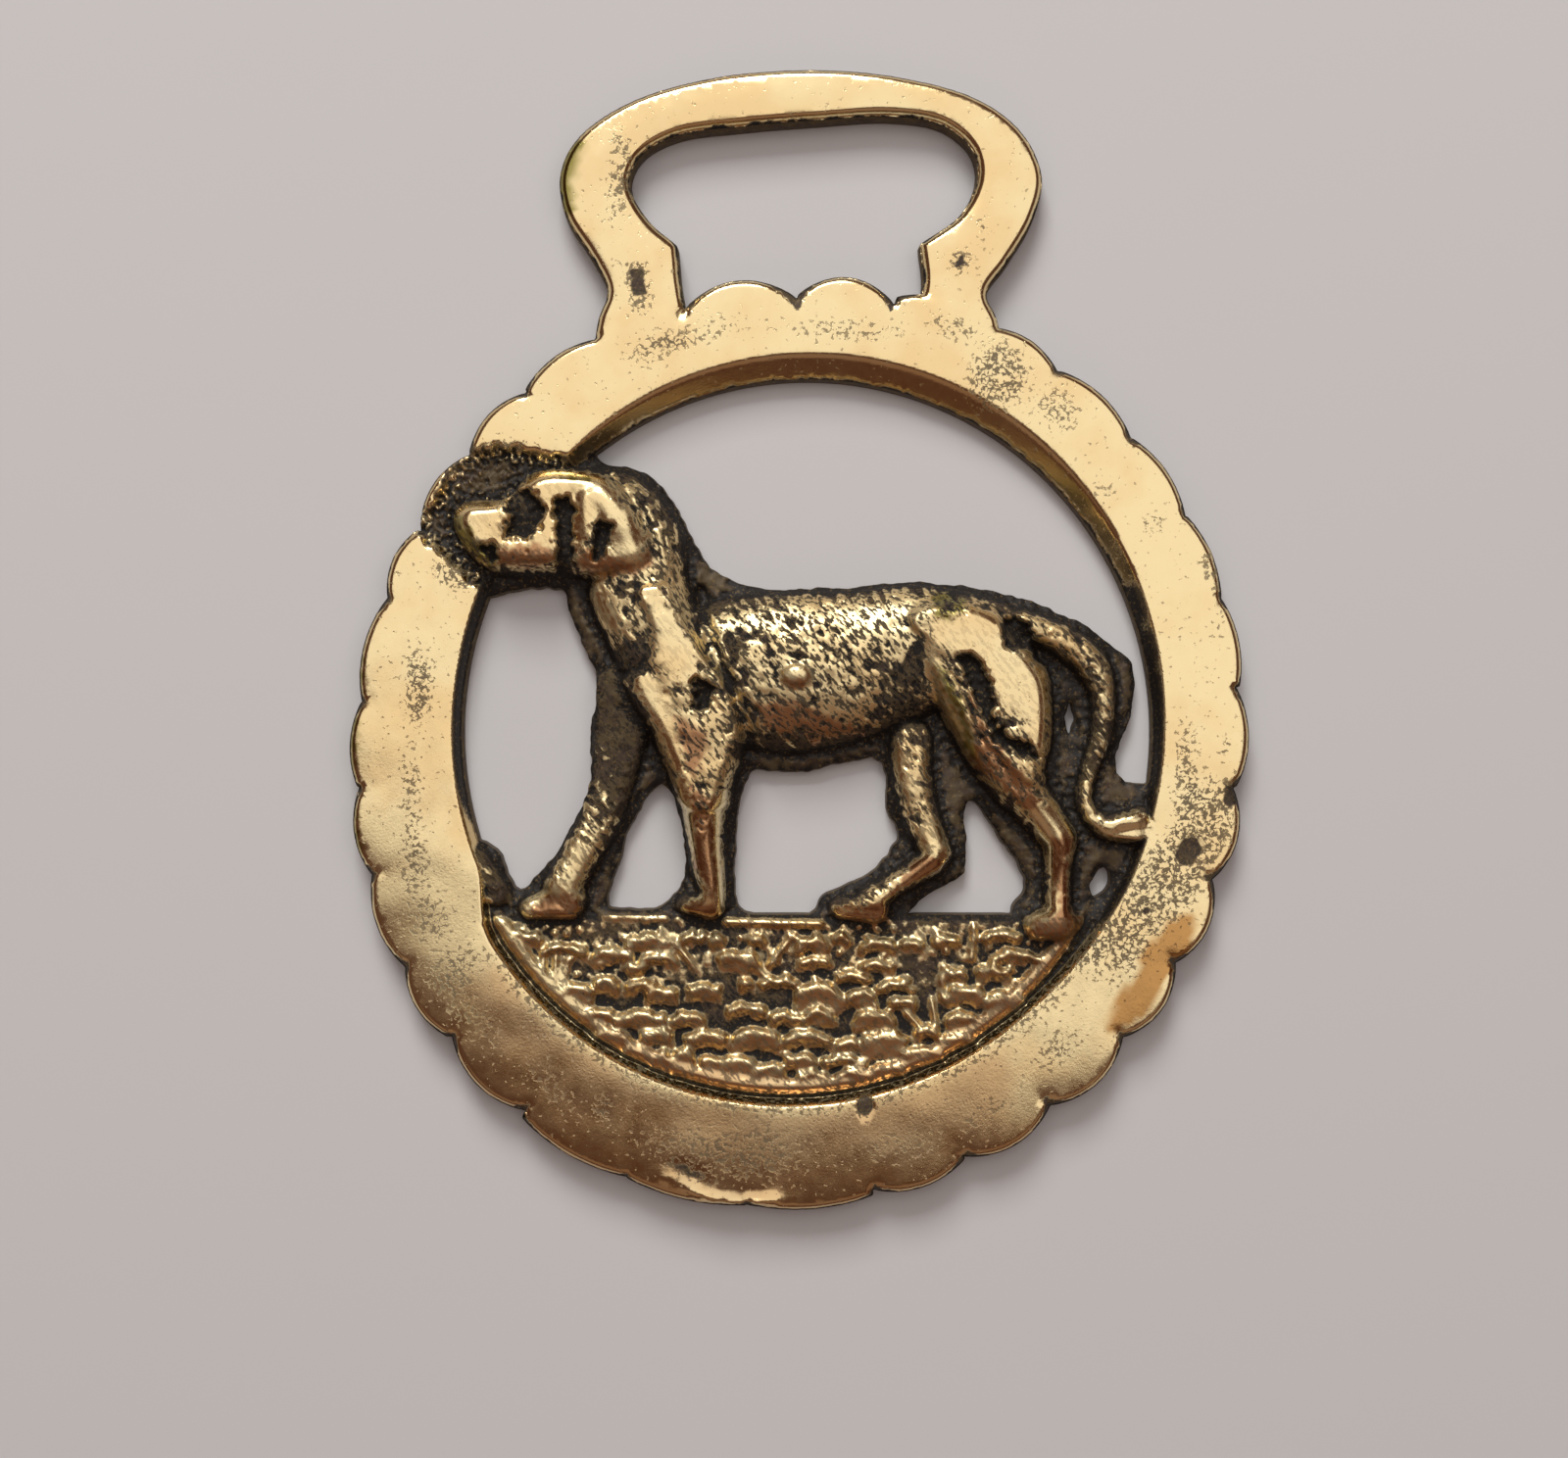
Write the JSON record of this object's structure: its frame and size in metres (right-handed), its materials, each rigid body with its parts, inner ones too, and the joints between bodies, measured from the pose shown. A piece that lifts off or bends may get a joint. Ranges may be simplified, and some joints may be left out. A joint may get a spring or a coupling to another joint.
{
  "type": "horse brass",
  "caption": "Cast brass harness ornament: a scalloped ring with a strap hanger, pierced round a walking hound on a tufted mound.",
  "frame": {"origin": "under the middle of the whole brass, on the flat back", "axes": "+Z out of the carved face, +Y towards the strap hanger, +X to the right as seen from the face"},
  "size_m": [0.07, 0.0884, 0.0057],
  "materials": {
    "brass": "polished on the high places, dark patina in the recesses"
  },
  "bodies": {
    "root": {"horse_brass": "brass"}
  },
  "joints": []
}
